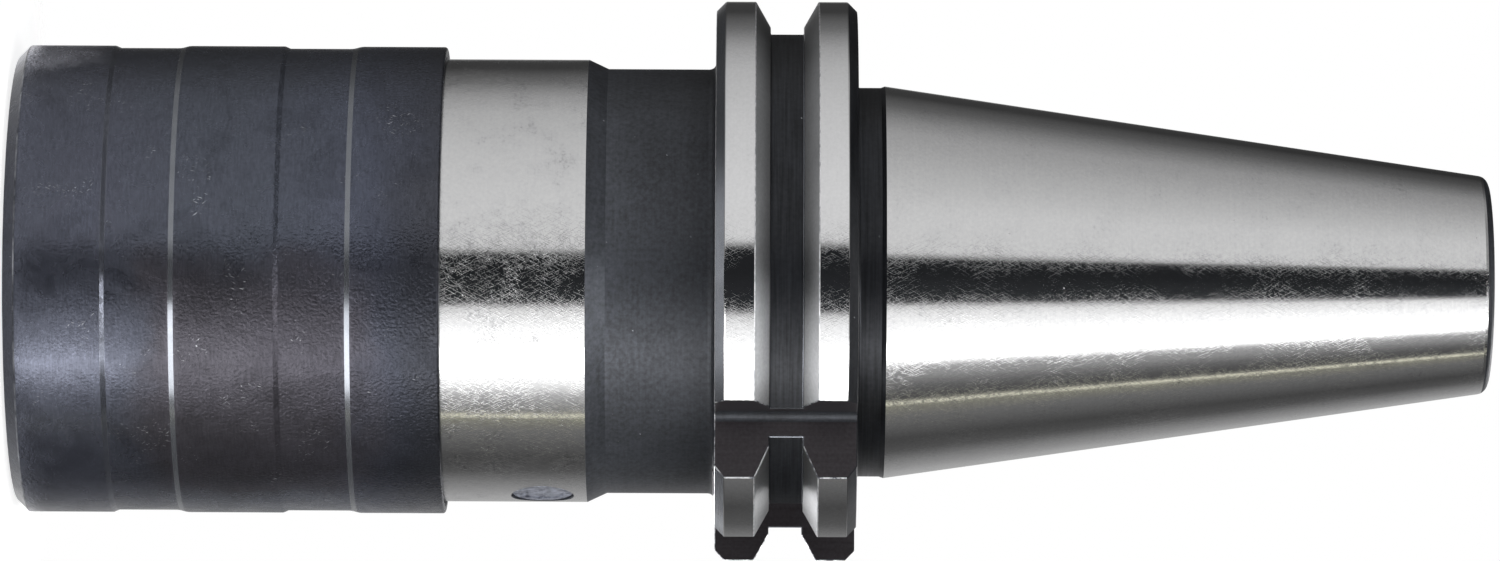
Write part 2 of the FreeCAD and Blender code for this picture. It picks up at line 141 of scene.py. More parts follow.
def layered(tree, *layers):
    """Patterns laid on each other. One that comes as (pattern, share) counts by its share."""
    result, *others = [overlap(tree, *x) if isinstance(x, tuple) else x for x in layers]
    for layer in others:
        result = add(tree, "Math", {"operation": "ADD"}, {0: result, 1: layer})
    return result


def off_axis(tree, spot):
    """The part of a place across the Z axis, and its length, which is the radius there."""
    flat = add(tree, "VectorMath", {"operation": "MULTIPLY"}, {0: spot, 1: (1, 1, 0)})
    return flat, add(tree, "VectorMath", {"operation": "LENGTH"}, {0: flat}).outputs["Value"]


def seen_directly(tree):
    """1 for the camera and for what a mirror or glass shows it, and 0 for all other light."""
    rays = add(tree, "LightPath").outputs
    seen = rays["Is Camera Ray"]
    for ray in ("Is Glossy Ray", "Is Transmission Ray"):
        seen = add(tree, "Math", {"operation": "MAXIMUM"}, {0: seen, 1: rays[ray]})
    return seen


def new_material(name):
    """An empty node material and its tree."""
    material = bpy.data.materials.new(name)
    material.use_nodes = True
    material.node_tree.nodes.clear()
    print("material:", name)
    return material, material.node_tree


def finish_surface(tree, colour, rough, height, depth, others, strength=1.0):
    """Ends a material with a relief of a depth in millimetres and a principled shader."""
    bump = add(tree, "Bump", inputs={
        "Strength": strength, "Distance": depth * mm, "Height": height})
    shader = add(tree, "BsdfPrincipled", inputs={
        "Base Color": colour, "Roughness": rough, "Normal": bump, **others})
    add(tree, "OutputMaterial", inputs={"Surface": shader})


# %% [markdown]
# ## Light
#
# Bright metal shows little colour of its own. It shows the room. A product photographer
# puts polished turned parts in a light tent: a cylinder of white cloth around the part
# that glows where lamps stand behind it and stays dark where black card hangs inside. Here
# the tent is a plain cylinder around the Z axis whose glow depends on the angle around
# that axis, read from its Object coordinates. The camera doesn't see the tent, only the
# white world behind it. Angles count from the camera's direction, and grow towards the
# lower edge of the picture.

# %% Light tent
plain, cold, green = (1, 1, 1), (0.93, 0.98, 1.07), (1.02, 1.0, 0.80)
tent_glow = [
    (-180, 0.45), (-172, 0.30), (-165, 0.05), (-145, 0.05), (-125, 0.18), (-110, 0.42),
    (-97, 0.56), (-70, 0.70), (-38, 0.81), (-17, 0.82), (-13.2, 0.02, cold), (-4, 0.02, cold),
    (11, 0.035, cold), (14.2, 0.95), (17, 1.15), (26, 1.45), (34, 1.60), (37, 5.00), (46, 5.00),
    (50, 1.55), (56, 1.15), (61, 0.62), (66, 0.40), (71, 0.27), (72.5, 0.26, green),
    (73.9, 1.6, green), (75.3, 0.27, green), (84, 0.19), (104, 0.075), (117, 0.11), (131, 0.28),
    (152, 0.45),
]
brightest = 5.0
tent_radius = 2.0
tent_half_height = 6.0
bpy.ops.object.select_all(action="DESELECT")
bpy.ops.mesh.primitive_cylinder_add(
    vertices=96, radius=tent_radius, depth=2 * tent_half_height, end_fill_type="NOTHING",
    location=(0, 0, 0),
)
tent = bpy.context.object
tent.name = "light_tent"
tent.visible_camera = False
tent.visible_shadow = False
material, tree = new_material("tent_cloth_with_black_card")
place_on_tent = add(tree, "TexCoord").outputs["Object"]
turned = add(tree, "Mapping", inputs={
    "Vector": place_on_tent, "Rotation": (0, 0, math.radians(90) - camera_azimuth)})
around = add(tree, "TexGradient", {"gradient_type": "RADIAL"}, {"Vector": turned})
# The cards hang a little further apart above the chuck than beside it.
upwards = add(tree, "SeparateXYZ", inputs={0: place_on_tent}).outputs["Z"]
spread = add(tree, "MapRange", inputs={"Value": upwards, "To Min": 1.0, "To Max": 0.93})
from_front = add(tree, "Math", {"operation": "SUBTRACT"}, {0: around.outputs["Fac"], 1: 0.5})
spread_out = add(tree, "Math", {"operation": "MULTIPLY_ADD"}, {0: from_front, 1: spread, 2: 0.5})
glow = add(tree, "ValToRGB", inputs={"Fac": spread_out}, stops=[
    ((angle + 180) / 360, [level / brightest * part for part in (tint[0] if tint else plain)])
    for angle, level, *tint in tent_glow])
# Towards its open ends the cloth gets less light.
away = add(tree, "Math", {"operation": "ABSOLUTE"}, {0: upwards})
power = add(tree, "MapRange", {"interpolation_type": "SMOOTHSTEP"}, {
    "Value": away, "From Min": 1.2, "From Max": 2.4,
    "To Min": brightest, "To Max": 0.3 * brightest})


def panel(height, side, half_height, half_side, core=0.8):
    """1 on a rectangle of the tent around a height in metres and a side in degrees."""
    inside = []
    for value, centre, reach in (
            (upwards, height, half_height),
            (around.outputs["Fac"], 0.5 + side / 360, half_side / 360)):
        off = add(tree, "Math", {"operation": "ABSOLUTE"}, {0: layered(tree, value, -centre)})
        inside.append(add(tree, "MapRange", inputs={
            "Value": off, "From Min": core * reach, "From Max": reach,
            "To Min": 1.0, "To Max": 0.0}))
    return overlap(tree, *inside)


# One softbox stands low, where the ramps of the grips look, and one high for their steps.
# Two stand at the back for the flanks of the V-groove.
softboxes = layered(
    tree, panel(-1.1, 38, 0.42, 26), (panel(2.2, 17, 0.35, 18), 2.0),
    (panel(2.3, 161, 1.1, 12), 1.05), (panel(-2.2, 161, 1.3, 12), 1.6))
glow = add(tree, "MixRGB", inputs={
    "Fac": add(tree, "Clamp", inputs={"Value": softboxes}),
    "Color1": glow, "Color2": (1, 1, 1, 1)})
# Grey nets hold back a share of the light: three where the taper looks, two where the
# steps of the grips look, and two at the back for the dark middle of the V-groove.
nets = layered(
    tree, 1.0, (panel(1.0, 61, 0.75, 16), -0.70), (panel(1.0, -120, 0.75, 75, 0.3), -0.42),
    (panel(1.0, -140, 0.75, 40, 0.5), -0.28), (panel(1.6, -55, 0.5, 50, 0.5), -0.55),
    (panel(1.4, 98, 0.5, 32, 0.5), -0.5), (panel(3.2, -175, 1.6, 8, 0.6), -0.85),
    (panel(3.2, 180, 1.6, 5), -0.85))
power = add(tree, "Math", {"operation": "MAXIMUM"}, {
    0: overlap(tree, power, nets), 1: overlap(tree, softboxes, brightest)})
lamp = add(tree, "Emission", inputs={"Color": glow, "Strength": power})
add(tree, "OutputMaterial", inputs={"Surface": lamp})
tent.data.materials.append(material)

# %% [markdown]
# The world behind the tent is white for the camera, so the picture gets its white
# background, and so do reflections that look out of the ends of the tent. For all other
# light it is a plain grey.

# %% World
world = bpy.data.worlds.new("white_room")
bpy.context.scene.world = world
world.use_nodes = True
tree = world.node_tree
tree.nodes.clear()
level = add(tree, "MapRange", inputs={"Value": seen_directly(tree), "To Min": 0.6, "To Max": 1.0})
background = add(tree, "Background", inputs={"Color": (1, 1, 1, 1), "Strength": level})
add(tree, "OutputWorld", inputs={"Surface": background})
print("world:", world.name)

# %% [markdown]
# The floor is a pale disc under the nose. Seen from the side it would fill half of the
# picture up to the horizon, so it fades out a hand's width from the chuck. It takes the
# chuck's shadow, and a little glow for the camera brings its lit part up to the white of
# the room. It rides with the spindle, because the chuck stands on the spindle's nose.

# %% Floor
floor_radius = 0.054
floor_solid_radius = 0.030
below_nose = 0.02 * mm
bpy.ops.object.select_all(action="DESELECT")
bpy.ops.mesh.primitive_circle_add(
    vertices=96, radius=floor_radius, fill_type="TRIFAN", location=(0, 0, -below_nose))
floor = bpy.context.object
floor.name = "floor"
material, tree = new_material("pale_studio_floor")
spot = add(tree, "TexCoord").outputs["Object"]
far = add(tree, "VectorMath", {"operation": "LENGTH"}, {0: spot})
fade = add(tree, "MapRange", {"interpolation_type": "SMOOTHSTEP"}, {
    "Value": far.outputs["Value"], "From Min": floor_solid_radius, "From Max": 0.98 * floor_radius})
paint = add(tree, "BsdfDiffuse", inputs={"Color": linear("#c4c4c4")})
lift = overlap(tree, seen_directly(tree), 0.80)
own = add(tree, "Emission", inputs={"Color": (1, 1, 1, 1), "Strength": lift})
both = add(tree, "AddShader", inputs={0: paint, 1: own})
clear = add(tree, "BsdfTransparent")
mixed = add(tree, "MixShader", inputs={0: fade, 1: both, 2: clear})
add(tree, "OutputMaterial", inputs={"Surface": mixed})
floor.data.materials.append(material)
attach(floor, "spindle")

# %% [markdown]
# ## Marks on metal
#
# Turning and grinding leave fine rings around the axis. A noise that changes quickly along
# the profile and slowly around the part draws them. On a cylinder the profile runs along Z
# and on a face it runs along the radius, so the sum of both serves every surface. Real
# rings are some hundredths of a millimetre apart, too fine to show, so they are drawn 0.12
# to 0.25 mm apart. The grain of the steel and of the oxide is drawn coarser for that too.
#
# Handling leaves other marks: scratches that run any way, small curls where grit was
# dragged around, and specks where the surface is nicked. For these the surface is rolled
# out flat, as arc length and height, and turned and squeezed as each mark needs.

# %% Patterns of marks
def tool_rings(tree, ring, around):
    """A vector for noise that draws rings: their spacing and their length, in millimetres."""
    spot = add(tree, "TexCoord").outputs["Object"]
    flat, radius = off_axis(tree, spot)
    run = add(tree, "Math", {"operation": "MULTIPLY_ADD"}, {
        0: radius, 1: 0.7, 2: add(tree, "SeparateXYZ", inputs={0: spot}).outputs["Z"]})
    broad = add(tree, "VectorMath", {"operation": "SCALE"}, {0: flat, "Scale": 1 / (around * mm)})
    across = add(tree, "SeparateXYZ", inputs={0: broad}).outputs
    return add(tree, "CombineXYZ", inputs={
        "X": across["X"], "Y": across["Y"], "Z": overlap(tree, run, 1 / (ring * mm))})


def ring_direction(tree):
    """The direction around the axis, which the grinding marks follow."""
    spot = add(tree, "TexCoord").outputs["Object"]
    part = add(tree, "SeparateXYZ", inputs={0: spot}).outputs
    turned = add(tree, "CombineXYZ", inputs={"X": overlap(tree, part["Y"], -1.0), "Y": part["X"]})
    return add(tree, "VectorMath", {"operation": "NORMALIZE"}, {0: turned})


def rolled_out(tree, turn=0, long=1.0, wide=1.0):
    """The surface rolled out flat, then turned by degrees and squeezed to a mark's size."""
    spot = add(tree, "TexCoord").outputs["Object"]
    part = add(tree, "SeparateXYZ", inputs={0: spot}).outputs
    angle = add(tree, "Math", {"operation": "ARCTAN2"}, {
        0: part["X"], 1: overlap(tree, part["Y"], -1.0)})
    arc = overlap(tree, angle, off_axis(tree, spot)[1])
    sheet = add(tree, "CombineXYZ", inputs={"X": arc, "Y": part["Z"]})
    return add(tree, "Mapping", {"vector_type": "TEXTURE"}, {
        "Vector": sheet, "Rotation": (0, 0, math.radians(turn)),
        "Scale": (long * mm, wide * mm, 1)})


def patches(tree, size, low, high, detail=6.0, flow=0.0):
    """Irregular patches: 0 below the low level of a noise and 1 above the high one."""
    spot = add(tree, "TexCoord").outputs["Object"]
    noise = add(tree, "TexNoise", inputs={
        "Vector": spot, "Scale": 1 / (size * mm), "Detail": detail, "Roughness": 0.6,
        "Distortion": flow})
    return add(tree, "MapRange", inputs={"Value": noise, "From Min": low, "From Max": high})


def scratches(tree, turn, length, width, level):
    """1 where a noise that is stretched into scratches passes a level."""
    noise = add(tree, "TexNoise", {"noise_dimensions": "2D"}, {
        "Vector": rolled_out(tree, turn, length, width), "Scale": 1.0, "Detail": 1.0,
        "Distortion": 0.3})
    return add(tree, "MapRange", inputs={
        "Value": noise, "From Min": level, "From Max": level + 0.06})


def specks(tree, spacing, size, share):
    """1 inside scattered specks, of which only a share of the cells holds one."""
    cells = add(tree, "TexVoronoi", {"voronoi_dimensions": "2D"}, {
        "Vector": rolled_out(tree, 30, spacing, 0.7 * spacing), "Scale": 1.0})
    luck = add(tree, "SeparateXYZ", inputs={0: cells.outputs["Color"]})
    reach = add(tree, "MapRange", inputs={
        "Value": luck, "From Min": 1 - share, "From Max": 1.0, "To Max": size / spacing})
    return add(tree, "Math", {"operation": "LESS_THAN"}, {0: cells.outputs["Distance"], 1: reach})


def curls(tree, spacing, share):
    """1 on thin broken circles, one in each cell that has the luck."""
    cells = add(tree, "TexVoronoi", {"voronoi_dimensions": "2D"}, {
        "Vector": rolled_out(tree, 0, spacing, spacing), "Scale": 1.0})
    luck = add(tree, "SeparateXYZ", inputs={0: cells.outputs["Color"]})
    reach = add(tree, "MapRange", inputs={
        "Value": luck, "From Min": 1 - share, "From Max": 1.0,
        "To Min": 0.05, "To Max": 0.45})
    off = add(tree, "Math", {"operation": "SUBTRACT"}, {0: cells.outputs["Distance"], 1: reach})
    off = add(tree, "Math", {"operation": "ABSOLUTE"}, {0: off})
    line = add(tree, "MapRange", inputs={
        "Value": off, "From Max": 0.08, "To Min": 1.0, "To Max": 0.0})
    return overlap(tree, line, patches(tree, 0.9 * spacing, 0.5, 0.55))


# %% [markdown]
# ## Ground steel
#
# Case-hardened alloy steel, cylindrically ground. To the eye it is a bright neutral mirror
# that smears every reflection along the axis, across the grinding marks, and keeps it
# sharp around the axis. Small waves and scratches fray the edges of the reflections, and
# hazy patches show where hands and holders rubbed it.

# %% Ground steel
def ground_steel(
        name, bright="#dcdcdc", dim="#d3d3d4", roughness=0.10, anisotropy=0.8, wear=1.0,
        root_shade_level=1.0):
    material, tree = new_material(name)
    spot = add(tree, "TexCoord").outputs["Object"]
    rings = add(tree, "TexNoise", inputs={
        "Vector": tool_rings(tree, 0.12, 25), "Scale": 1.0, "Detail": 3.0})
    grain = add(tree, "TexNoise", inputs={
        "Vector": spot, "Scale": 1 / (0.36 * mm), "Detail": 1.5, "Roughness": 0.5})
    waves = add(tree, "TexNoise", inputs={"Vector": spot, "Scale": 1 / (2.6 * mm), "Detail": 2.0})
    haze = patches(tree, 5.0, 0.5, 0.72)
    marks = layered(
        tree, scratches(tree, 62, 1.6, 0.13, 0.60), scratches(tree, 118, 1.4, 0.12, 0.61),
        scratches(tree, 20, 0.9, 0.12, 0.63), curls(tree, 1.5, 0.5))
    marks = overlap(tree, marks, patches(tree, 7.0, 0.3, 0.65))
    stain = patches(tree, 3.5, 0.5, 0.8, 9.0)
    nicks = overlap(tree, specks(tree, 2.1, 0.13, 0.3), patches(tree, 9.0, 0.5, 0.6))
    tone = layered(tree, (rings, 0.3), (grain, 0.7), (stain, -0.5 * wear))
    colour = add(tree, "ValToRGB", inputs={"Fac": tone}, stops=[
        (0.0, "#b4b4b5"), (0.3, dim), (0.7, bright)])
    # Painted shade: the flanks of the V-groove are painted darker towards its root, where the walls
    # of the groove shade them.
    root_shade = add(tree, "MapRange", inputs={
        "Value": off_axis(tree, spot)[1], "From Min": 28.9 * mm, "From Max": 31.3 * mm,
        "To Min": root_shade_level, "To Max": 1.0})
    colour = add(tree, "VectorMath", {"operation": "SCALE"}, {0: colour, "Scale": root_shade})
    rough = layered(tree, (haze, 0.03 * wear), (nicks, 0.4 * wear), roughness)
    height = layered(tree, (rings, 0.03), (grain, 0.65 * wear), (waves, wear), (marks, 0.8 * wear))
    finish_surface(tree, colour, rough, height, 0.005, {
        "Metallic": 1.0, "Anisotropic": anisotropy, "Anisotropic Rotation": 0.25,
        "Tangent": ring_direction(tree)})
    return material


ground = ground_steel("ground_case_hardened_steel")
taper_steel = ground_steel("ground_steel_of_taper", wear=0.55)
rim_steel = ground_steel("ground_steel_of_flange_rims", "#e2e2e3", "#dbdbdc", 0.05, 0.8, 0.4)
flank_steel = ground_steel(
    "turned_steel_of_groove_flanks", "#cacbcd", "#babbbd", 0.45, 0.95, 0.5, root_shade_level=0.5)
# The hidden parts: duller spindle steel, drawn wire, lapped balls and warm yellow bronze.
spindle_steel = ground_steel("ground_spindle_steel", "#cfcdca", "#bab8b5", 0.2, 0.6, 0.5)
spring_wire = ground_steel("drawn_spring_wire", "#8f8d8c", "#6c6b6c", 0.33, 0.0, 0.3)
ball_steel = ground_steel("lapped_ball_steel", "#dddddd", "#d2d2d3", 0.08, 0.0, 0.1)
bronze = ground_steel("turned_tin_bronze", "#c79a62", "#a97c48", 0.28, 0.5, 0.5)

# %% [markdown]
# ## Black oxide
#
# The parts that aren't ground keep the thin blue-black magnetite layer of the hot oxide
# bath. To the eye it is a dark satin with a fine mottle, half sheen and half body, with a
# few pale specks where it is nicked. The mottle is a noise much finer than the tool rings.

# %% Black oxide
def black_oxide(
        name, dark, light, roughness=0.38, mottle=0.5, blotch=9.0, nicked=0.12, ringed=0.15,
        painted_light_level=1.0, painted_shade_level=1.0):
    material, tree = new_material(name)
    spot = add(tree, "TexCoord").outputs["Object"]
    fine = add(tree, "TexNoise", inputs={
        "Vector": spot, "Scale": 1 / (mottle * mm), "Detail": 3.0, "Roughness": 0.6})
    broad = add(tree, "TexNoise", inputs={
        "Vector": spot, "Scale": 1 / (blotch * mm), "Detail": 5.0, "Roughness": 0.6})
    rings = add(tree, "TexNoise", inputs={
        "Vector": tool_rings(tree, 0.25, 9), "Scale": 1.0, "Detail": 3.0})
    tone = layered(tree, (fine, 0.65 - ringed), (broad, 0.35), (rings, ringed))
    colour = add(tree, "ValToRGB", inputs={"Fac": tone}, stops=[(0.36, dark), (0.64, light)])
    # Painted light and shade: the colour is scaled from a lighter level at 66 mm to a darker one at
    # 77 mm, beside the flange, which shades the neck.
    corner = add(tree, "MapRange", inputs={
        "Value": add(tree, "SeparateXYZ", inputs={0: spot}).outputs["Z"],
        "From Min": 66 * mm, "From Max": 77 * mm, "To Min": painted_light_level, "To Max": painted_shade_level})
    colour = add(tree, "VectorMath", {"operation": "SCALE"}, {0: colour, "Scale": corner})
    nicks = overlap(tree, specks(tree, 2.0, 0.12, nicked), patches(tree, 8.0, 0.48, 0.6), 0.6)
    colour = add(tree, "MixRGB", inputs={
        "Fac": nicks, "Color1": colour, "Color2": linear("#b9bcc2")})
    rough = add(tree, "MapRange", inputs={
        "Value": tone, "From Min": 0.3, "From Max": 0.7,
        "To Min": roughness + 0.05, "To Max": roughness - 0.05})
    height = layered(tree, fine, (rings, 0.05))
    finish_surface(tree, colour, rough, height, 0.012, {"Metallic": 0.55})
    return material


shank_oxide = black_oxide(
    "black_oxide_on_turned_steel", "#35373b", "#4e5158", 0.44, painted_light_level=1.22, painted_shade_level=0.66)
dark_oxide = black_oxide(
    "black_oxide_in_groove_and_collar", "#0f1115", "#303237", 0.36, ringed=0.45)
plug_oxide = black_oxide("mottled_oxide_of_plug", "#4a4e5e", "#b3b8c8", 0.34, 0.8, 1.6, 0.5)
screw_oxide = black_oxide("black_oxide_of_screws", "#2c2d31", "#4b4d53", 0.32, 0.4, 4.0)
ring_steel = black_oxide("phosphated_ring_steel", "#303134", "#55575b", 0.42, 0.3, 2.0)

# %% [markdown]
# The milled walls of the slots and of the notch are darker and browner, with straight
# cutter lines along the axis, drawn 0.4 mm apart so that they show. Where edges are broken,
# the oxide is half rubbed off and steel shows in crumbs.

# %% Milled walls and rubbed edges
fine_marks = 2.6 / mm
material, tree = new_material("black_oxide_on_milled_walls")
spot = add(tree, "TexCoord").outputs["Object"]
lines = add(tree, "TexNoise", inputs={
    "Vector": add(tree, "Mapping", inputs={"Vector": spot, "Scale": (fine_marks, fine_marks, 60)}),
    "Scale": 1.0, "Detail": 3.0})
fine = add(tree, "TexNoise", inputs={"Vector": spot, "Scale": fine_marks, "Detail": 5.0})
tone = layered(tree, (lines, 0.4), (fine, 0.6))
colour = add(tree, "ValToRGB", inputs={"Fac": tone}, stops=[(0.3, "#2c292b"), (0.7, "#3e3a3e")])
finish_surface(tree, colour, 0.4, tone, 0.004, {"Metallic": 0.55})
milled_oxide = material


def rubbed_edge(name, oxide, steel, level, roughness, crumb=0.9, blend=0.15):
    """Oxide that is rubbed through to the steel in crumbs, where a noise passes a level."""
    material, tree = new_material(name)
    bare = patches(tree, crumb, level, level + blend)
    colour = add(tree, "ValToRGB", inputs={"Fac": bare}, stops=[(0.0, oxide), (1.0, steel)])
    rough = add(tree, "MapRange", inputs={
        "Value": bare, "To Min": roughness + 0.1, "To Max": roughness})
    finish_surface(tree, colour, rough, bare, 0.002, {"Metallic": 0.8})
    return material


edge_oxide = rubbed_edge("rubbed_oxide_of_edges", "#5c5f65", "#dddee1", 0.43, 0.30)
bright_edge = rubbed_edge("polished_edges_of_ground_steel", "#b9bbbf", "#e9e9eb", 0.40, 0.35)
step_oxide = rubbed_edge("burnished_oxide_of_first_step", "#61646e", "#6c6f79", 0.45, 0.10)
sleeve_edge = rubbed_edge(
    "rubbed_oxide_of_sleeve_edges", "#3b3d43", "#9c9ea4", 0.40, 0.28, 3.5, 0.35)
ramp_oxide = rubbed_edge("polished_oxide_of_grip_ramps", "#7b7e84", "#878a90", 0.42, 0.12, 4.0, 0.4)

# %% [markdown]
# ## Oxide of the sleeve
#
# The sleeve is the part that hands hold. Its oxide is glossier and a little violet, and
# brown where it is held. Oil has left darker patches with crisp edges, the sheen changes
# from place to place, and the grain of the blasted steel sparkles in the highlight.

# %% Oxide of the sleeve
sleeve_oxide, tree = new_material("handled_black_oxide_of_sleeve")
spot = add(tree, "TexCoord").outputs["Object"]
height_up = add(tree, "SeparateXYZ", inputs={0: spot}).outputs["Z"]
fine = add(tree, "TexNoise", inputs={
    "Vector": spot, "Scale": 1 / (0.33 * mm), "Detail": 1.5, "Roughness": 0.5})
drift = add(tree, "TexNoise", inputs={
    "Vector": spot, "Scale": 1 / (11 * mm), "Detail": 6.0, "Roughness": 0.6})
rings = add(tree, "TexNoise", inputs={
    "Vector": tool_rings(tree, 0.2, 1.3), "Scale": 1.0, "Detail": 2.0})
oil = patches(tree, 7.5, 0.54, 0.60, 5.0, 0.6)
upward = layered(tree, (height_up, 20.0), (drift, 0.3), -0.15)
tint = add(tree, "ValToRGB", inputs={"Fac": upward}, stops=[
    (0.0, "#565965"), (0.26, "#555864"), (0.40, "#535762"), (0.55, "#535762"),
    (0.66, "#535763"), (0.84, "#535765"), (1.0, "#52545d")])
# Where hands hold the lower half, the oxide is darker, and brown in the middle. Near the
# nose it is rubbed pale at one place.
sheet = add(tree, "SeparateXYZ", inputs={0: rolled_out(tree)})
across, along = [layered(tree, value, (drift, 14.0)) for value in (
    sheet.outputs["X"], sheet.outputs["Y"])]
held_start, held_end, held_up, middle_start, middle_end, rubbed_start, rubbed_end, rubbed_up = [
    add(tree, "MapRange", {"interpolation_type": "SMOOTHSTEP"}, {
        "Value": value, "From Min": start, "From Max": end})
    for value, start, end in (
        (across, 7, 15), (across, 45, 36), (along, 13, 27), (along, 20, 26), (along, 52, 43),
        (across, -16, -21), (across, -40, -30), (along, 20, 11))]
held = overlap(tree, held_start, held_end, held_up)
rear = add(tree, "MapRange", inputs={"Value": along, "From Min": 47, "From Max": 53})
# Painted shade: the front chamfer, below about 1.9 mm, is darkened to half its colour.
nose = add(tree, "MapRange", inputs={
    "Value": height_up, "From Min": 1.9 * mm, "From Max": 1.5 * mm})
brown = overlap(tree, held, middle_start, middle_end, 0.45)
tint = add(tree, "MixRGB", inputs={"Fac": brown, "Color1": tint, "Color2": linear("#60575b")})
rubbed = overlap(tree, rubbed_start, rubbed_end, rubbed_up, 0.8)
tint = add(tree, "MixRGB", inputs={"Fac": rubbed, "Color1": tint, "Color2": linear("#d0d1de")})
shade = add(tree, "MapRange", inputs={
    "Value": layered(tree, (fine, 0.3), (drift, 0.2), (rings, 0.5)),
    "From Min": 0.36, "From Max": 0.64, "To Min": 0.78, "To Max": 1.22})
shade = overlap(tree, shade, *[
    add(tree, "MapRange", inputs={"Value": value, "To Min": 1.0, "To Max": darkest})
    for value, darkest in ((oil, 0.85), (held, 0.56), (rear, 0.72), (nose, 0.5))])
colour = add(tree, "VectorMath", {"operation": "SCALE"}, {0: tint, "Scale": shade})
nicks = layered(
    tree, specks(tree, 2.2, 0.14, 0.2), scratches(tree, 70, 0.9, 0.13, 0.73),
    scratches(tree, 130, 0.8, 0.13, 0.74))
nicks = overlap(tree, nicks, patches(tree, 6.0, 0.57, 0.62), 0.7)
colour = add(tree, "MixRGB", {"use_clamp": True}, {
    "Fac": nicks, "Color1": colour, "Color2": linear("#c2c4c9")})
sparkle = add(tree, "MapRange", inputs={
    "Value": layered(tree, (height_up, 22.0), (drift, 0.6), -0.45),
    "To Min": 3.5, "To Max": 15.0})
pits = layered(tree, fine, (specks(tree, 0.7, 0.22, 0.6), -0.35))
relief = layered(tree, (pits, sparkle), (rings, 0.3), (drift, 14.0))
rough = add(tree, "MapRange", inputs={
    "Value": patches(tree, 4.5, 0.38, 0.6, 7.0, 0.8), "To Min": 0.19, "To Max": 0.29})
rough = layered(tree, rough, (held, 0.12))
finish_surface(tree, colour, rough, relief, 0.006, {"Metallic": 0.75})

# %% [markdown]
# ## Nitrile rubber
#
# The moulded wiper ring is matt black with a fine grain. It sits deep in the housing's
# mouth, so a little bump is enough for it.

# %% Nitrile rubber
rubber, tree = new_material("moulded_nitrile_rubber")
spot = add(tree, "TexCoord").outputs["Object"]
grain = add(tree, "TexNoise", inputs={"Vector": spot, "Scale": 1 / (0.4 * mm), "Detail": 3.0})
colour = add(tree, "ValToRGB", inputs={"Fac": grain}, stops=[(0.3, "#1a1a1b"), (0.7, "#29292a")])
finish_surface(tree, colour, 0.62, grain, 0.02, {"IOR": 1.52}, strength=0.3)

# %% [markdown]
# ## A lathe made of edit mode tools
#
# Round parts start as one point. The point is extruded from corner to corner along the
# part's profile, which lies in the XZ plane, and the closed profile is spun about Z. A
# corner may be eased by a radius, as a turning tool leaves it. The list of corners is in
# millimetres, as (radius, height) or (radius, height, ease).

# %% Helpers for turned parts
turn_steps = 168
weld = 0.002 * mm


def select_alone(piece):
    """Selects one piece and nothing else."""
    bpy.ops.object.select_all(action="DESELECT")
    piece.select_set(True)
    bpy.context.view_layer.objects.active = piece


def start_edit(piece):
    """Selects one piece alone and opens it in edit mode."""
    select_alone(piece)
    bpy.ops.object.mode_set(mode="EDIT")


def ease(corners, steps=6):
    """The corners with each eased one turned into a short arc."""
    points = []
    for i, corner in enumerate(corners):
        here = Vector(corner[:2])
        if len(corner) == 2:
            points.append(here)
            continue
        back = (Vector(corners[i - 1][:2]) - here).normalized()
        ahead = (Vector(corners[(i + 1) % len(corners)][:2]) - here).normalized()
        half = back.angle(ahead) / 2
        radius = corner[2]
        centre = here + (back + ahead).normalized() * radius / math.sin(half)
        first = here + back * radius / math.tan(half) - centre
        last = here + ahead * radius / math.tan(half) - centre
        for k in range(steps + 1):
            points.append(centre + first.slerp(last, k / steps).normalized() * radius)
    return points


def draw_outline(name, points):
    """A closed outline in the XZ plane, left open in edit mode."""
    bpy.ops.object.select_all(action="DESELECT")
    bpy.ops.mesh.primitive_plane_add(size=mm, location=(0, 0, 0))
    piece = bpy.context.object
    piece.name = name
    bpy.ops.object.mode_set(mode="EDIT")
    bpy.ops.mesh.select_mode(type="VERT")
    bpy.ops.mesh.merge(type="CENTER")
    bpy.ops.transform.translate(value=(points[0].x * mm, 0, points[0].y * mm))
    for here, there in zip(points, points[1:] + points[:1]):
        step = (there - here) * mm
        bpy.ops.mesh.extrude_vertices_move(TRANSFORM_OT_translate={"value": (step.x, 0, step.y)})
    bpy.ops.mesh.select_all(action="SELECT")
    bpy.ops.mesh.remove_doubles(threshold=weld)
    return piece


def turn_part(name, corners):
    """A closed part spun about Z from its profile."""
    piece = draw_outline(name, ease(corners))
    bpy.ops.mesh.spin(steps=turn_steps, angle=2 * math.pi, center=(0, 0, 0), axis=(0, 0, 1))
    bpy.ops.mesh.select_all(action="SELECT")
    bpy.ops.mesh.remove_doubles(threshold=weld)
    bpy.ops.mesh.normals_make_consistent(inside=False)
    bpy.ops.object.mode_set(mode="OBJECT")
    print(name, "turned:", len(piece.data.polygons), "faces")
    return piece


# %% [markdown]
# ## Shank
#
# Taper, flange, neck and housing tube are one piece of case-hardened steel. The frame
# stores it as five touching solids, so one mesh replaces the five, without seams. Its
# profile runs from the mouth of the housing up the outside to the small end of the taper
# and back down through the bores. The pull-stud hole is turned to the outer diameter of
# its thread here, and the thread itself follows as a ridge.

# %% Turn the shank
spindle_bore = 18.04
shank = turn_part("shank", [
    (20.24, 33.88), (24.58, 33.88), (25.08, 34.38), (25.08, 64.8), (24.05, 67.0),
    (24.05, 79.2, 0.8), (30.675, 79.2), (31.775, 80.3),
    (31.775, 83.664), (28.898, 85.325), (28.125, 85.325),
    (28.125, 89.075), (28.898, 89.075), (31.775, 90.736),
    (31.775, 94.0), (30.675, 95.1), (22.05, 95.1, 0.4), (22.05, 97.8), (22.225, 98.3),
    (12.25, 166.7, 1.2), (8.5, 166.7), (8.5, 159.7), (8.0, 159.3),
    (8.0, 134.2), (5.0, 134.2), (5.0, 122.16), (13.125, 122.16), (13.125, 99.05),
    (spindle_bore, 99.05), (spindle_bore, 40.07), (20.24, 40.07),
    (20.24, 35.13), (20.94, 35.13), (20.94, 34.33), (20.24, 34.33),
])

